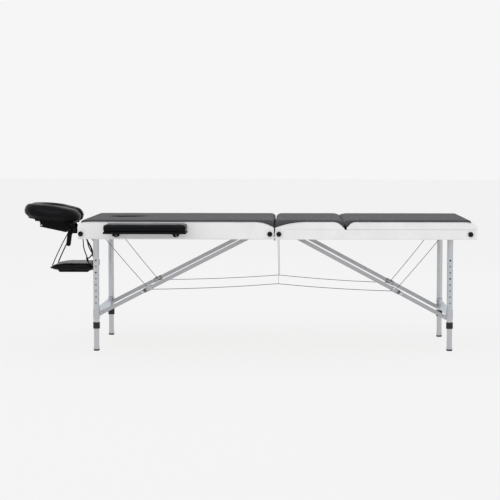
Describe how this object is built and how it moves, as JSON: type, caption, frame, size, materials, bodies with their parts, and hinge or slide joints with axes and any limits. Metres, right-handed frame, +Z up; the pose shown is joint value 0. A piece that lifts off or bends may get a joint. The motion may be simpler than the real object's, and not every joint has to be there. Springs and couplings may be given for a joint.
{
  "type": "portable massage table",
  "caption": "Folding massage table on telescoping aluminium legs with a lifting backrest, tilting face cradle, hanging arm shelf and slide-in side armrests.",
  "frame": {"origin": "on the floor, under the middle of the whole table's bounding box", "axes": "+X from the headrest to the backrest end, +Z up, -Y the long side with the rubber bumpers"},
  "size_m": [2.1586, 0.99, 0.6836],
  "materials": {
    "top_vinyl": "soft matte upholstery vinyl",
    "side_vinyl": "white matte upholstery vinyl",
    "black_vinyl": "soft black upholstery vinyl",
    "foam": "open-cell foam",
    "plywood": "plywood",
    "beech": "varnished beech",
    "aluminium": "satin anodised",
    "link_metal": "brushed",
    "zinc": "zinc plated",
    "black_plastic": "moulded black plastic",
    "rubber": "matte rubber",
    "webbing": "woven webbing",
    "cable": "coated wire rope",
    "stretcher_grey": "pale grey-blue satin"
  },
  "bodies": {
    "head_section": {"head_rails": "beech", "head_board": "plywood", "head_foam": "foam", "head_top_cover": "top_vinyl", "head_side_cover": "side_vinyl", "head_fittings": "black_plastic", "head_brackets": "zinc", "head_pins": "zinc", "head_bumpers": "rubber", "head_carry_handle": "webbing", "head_cables": "cable", "span_cables": "cable"},
    "foot_section": {"foot_rails": "beech", "seat_board": "plywood", "seat_foam": "foam", "seat_top_cover": "top_vinyl", "foot_side_cover": "side_vinyl", "foot_brackets": "zinc", "foot_pins": "zinc", "foot_bumpers": "rubber", "foot_carry_handle": "webbing", "foot_cables": "cable"},
    "backrest": {"backrest_board": "plywood", "backrest_foam": "foam", "backrest_top_cover": "top_vinyl", "backrest_side_cover": "side_vinyl", "backrest_fittings": "zinc"},
    "backrest_prop": {"prop_frame": "zinc"},
    "head_legs": {"head_leg_tubes": "aluminium", "head_stretcher": "stretcher_grey", "head_leg_fittings": "black_plastic"},
    "foot_legs": {"foot_leg_tubes": "aluminium", "foot_stretcher": "stretcher_grey", "foot_leg_fittings": "black_plastic"},
    "head_upper_braces": {"head_upper_braces": "link_metal"},
    "head_lower_braces": {"head_lower_braces": "link_metal"},
    "foot_upper_braces": {"foot_upper_braces": "link_metal"},
    "foot_lower_braces": {"foot_lower_braces": "link_metal"},
    "headrest": {"headrest_base": "black_plastic", "headrest_pins": "zinc", "shelf_board": "plywood", "shelf_pad": "black_vinyl", "shelf_straps": "webbing"},
    "headrest_platform": {"headrest_platform": "black_plastic", "headrest_cushion": "black_vinyl"},
    "headrest_lever": {"headrest_lever": "black_plastic"},
    "armrest_near": {"armrest_near_frame": "zinc", "armrest_near_pad": "black_vinyl"},
    "armrest_far": {"armrest_far_frame": "zinc", "armrest_far_pad": "black_vinyl"},
    "latch_inner": {"latch_inner": "zinc"},
    "latch_outer": {"latch_outer": "zinc"},
    "head_near_leg_extension": {"head_near_leg_extension": "aluminium"},
    "head_near_leg_button": {"head_near_leg_button": "zinc"},
    "head_far_leg_extension": {"head_far_leg_extension": "aluminium"},
    "head_far_leg_button": {"head_far_leg_button": "zinc"},
    "foot_near_leg_extension": {"foot_near_leg_extension": "aluminium"},
    "foot_near_leg_button": {"foot_near_leg_button": "zinc"},
    "foot_far_leg_extension": {"foot_far_leg_extension": "aluminium"},
    "foot_far_leg_button": {"foot_far_leg_button": "zinc"}
  },
  "joints": [
    {"name": "center_fold", "type": "hinge", "parent": "head_section", "child": "foot_section", "pos_m": [0.14, 0, 0.522], "axis": [0, 1, 0], "range_deg": [0, 180], "deforming": ["head_cables", "foot_cables", "span_cables"]},
    {"name": "head_leg_fold", "type": "hinge", "parent": "head_section", "child": "head_legs", "pos_m": [-0.698, 0, 0.541], "axis": [0, -1, 0], "range_deg": [0, 90]},
    {"name": "foot_leg_fold", "type": "hinge", "parent": "foot_section", "child": "foot_legs", "pos_m": [0.962, 0, 0.541], "axis": [0, 1, 0], "range_deg": [0, 90]},
    {"name": "head_upper_brace", "type": "hinge", "parent": "head_section", "child": "head_upper_braces", "pos_m": [0.071, 0, 0.56], "axis": [0, 1, 0], "range_deg": [0, 27.11]},
    {"name": "head_lower_brace", "type": "hinge", "parent": "head_legs", "child": "head_lower_braces", "pos_m": [-0.679, 0, 0.176], "axis": [0, -1, 0], "range_deg": [0, 62.89]},
    {"name": "foot_upper_brace", "type": "hinge", "parent": "foot_section", "child": "foot_upper_braces", "pos_m": [0.19, 0, 0.56], "axis": [0, -1, 0], "range_deg": [0, 28.21]},
    {"name": "foot_lower_brace", "type": "hinge", "parent": "foot_legs", "child": "foot_lower_braces", "pos_m": [0.943, 0, 0.156], "axis": [0, 1, 0], "range_deg": [0, 61.79]},
    {"name": "head_near_leg_extend", "type": "slide", "parent": "head_legs", "child": "head_near_leg_extension", "axis": [0, 0, -1], "range_m": [-0.0574, 0.1435], "stiffness_N_per_m": 80000, "deforming": ["head_near_leg_button"]},
    {"name": "head_near_button_press", "type": "slide", "parent": "head_near_leg_extension", "child": "head_near_leg_button", "axis": [0, 1, 0], "range_m": [0, 0.005]},
    {"name": "head_far_leg_extend", "type": "slide", "parent": "head_legs", "child": "head_far_leg_extension", "axis": [0, 0, -1], "range_m": [-0.0574, 0.1435], "stiffness_N_per_m": 80000, "deforming": ["head_far_leg_button"]},
    {"name": "head_far_button_press", "type": "slide", "parent": "head_far_leg_extension", "child": "head_far_leg_button", "axis": [0, -1, 0], "range_m": [0, 0.005]},
    {"name": "foot_near_leg_extend", "type": "slide", "parent": "foot_legs", "child": "foot_near_leg_extension", "axis": [0, 0, -1], "range_m": [-0.0861, 0.1148], "stiffness_N_per_m": 80000, "deforming": ["foot_near_leg_button"]},
    {"name": "foot_near_button_press", "type": "slide", "parent": "foot_near_leg_extension", "child": "foot_near_leg_button", "axis": [0, 1, 0], "range_m": [0, 0.005]},
    {"name": "foot_far_leg_extend", "type": "slide", "parent": "foot_legs", "child": "foot_far_leg_extension", "axis": [0, 0, -1], "range_m": [-0.0861, 0.1148], "stiffness_N_per_m": 80000, "deforming": ["foot_far_leg_button"]},
    {"name": "foot_far_button_press", "type": "slide", "parent": "foot_far_leg_extension", "child": "foot_far_leg_button", "axis": [0, -1, 0], "range_m": [0, 0.005]},
    {"name": "backrest_lift", "type": "hinge", "parent": "foot_section", "child": "backrest", "pos_m": [0.47, 0, 0.5695], "axis": [0, -1, 0], "range_deg": [0, 60]},
    {"name": "backrest_prop_swing", "type": "hinge", "parent": "backrest", "child": "backrest_prop", "pos_m": [0.755, 0, 0.556], "axis": [0, 1, 0], "range_deg": [0, 122.9]},
    {"name": "headrest_slide", "type": "slide", "parent": "head_section", "child": "headrest", "axis": [-1, 0, 0], "range_m": [0, 0.18]},
    {"name": "headrest_tilt", "type": "hinge", "parent": "headrest", "child": "headrest_platform", "pos_m": [-0.847, 0, 0.582], "axis": [0, 1, 0], "range_deg": [-40, 30], "stiffness_Nm_per_rad": 200},
    {"name": "headrest_lever_turn", "type": "hinge", "parent": "headrest", "child": "headrest_lever", "pos_m": [-0.851, 0, 0.556], "axis": [0, 1, 0], "range_deg": [0, 80]},
    {"name": "armrest_near_slide", "type": "slide", "parent": "head_section", "child": "armrest_near", "axis": [0, -1, 0], "range_m": [0, 0.05]},
    {"name": "armrest_far_slide", "type": "slide", "parent": "head_section", "child": "armrest_far", "axis": [0, 1, 0], "range_m": [0, 0.05]},
    {"name": "latch_inner_turn", "type": "hinge", "parent": "foot_section", "child": "latch_inner", "pos_m": [0.22, 0.344, 0.534], "axis": [-1, 0, 0], "range_deg": [0, 150]},
    {"name": "latch_outer_turn", "type": "hinge", "parent": "foot_section", "child": "latch_outer", "pos_m": [1.02, 0.344, 0.534], "axis": [-1, 0, 0], "range_deg": [0, 150]}
  ],
  "couplings": [
    {"joint": "head_leg_fold", "follows": "center_fold", "ratio": 0.5},
    {"joint": "foot_leg_fold", "follows": "center_fold", "ratio": 0.5},
    {"joint": "head_upper_brace", "follows": "center_fold", "ratio": 0.15062},
    {"joint": "head_lower_brace", "follows": "center_fold", "ratio": 0.34938},
    {"joint": "foot_upper_brace", "follows": "center_fold", "ratio": 0.15675},
    {"joint": "foot_lower_brace", "follows": "center_fold", "ratio": 0.34325},
    {"joint": "backrest_prop_swing", "follows": "backrest_lift", "ratio": 2.0475},
    {"joint": "headrest_slide", "follows": "center_fold", "m_per_rad": 0.057295}
  ]
}
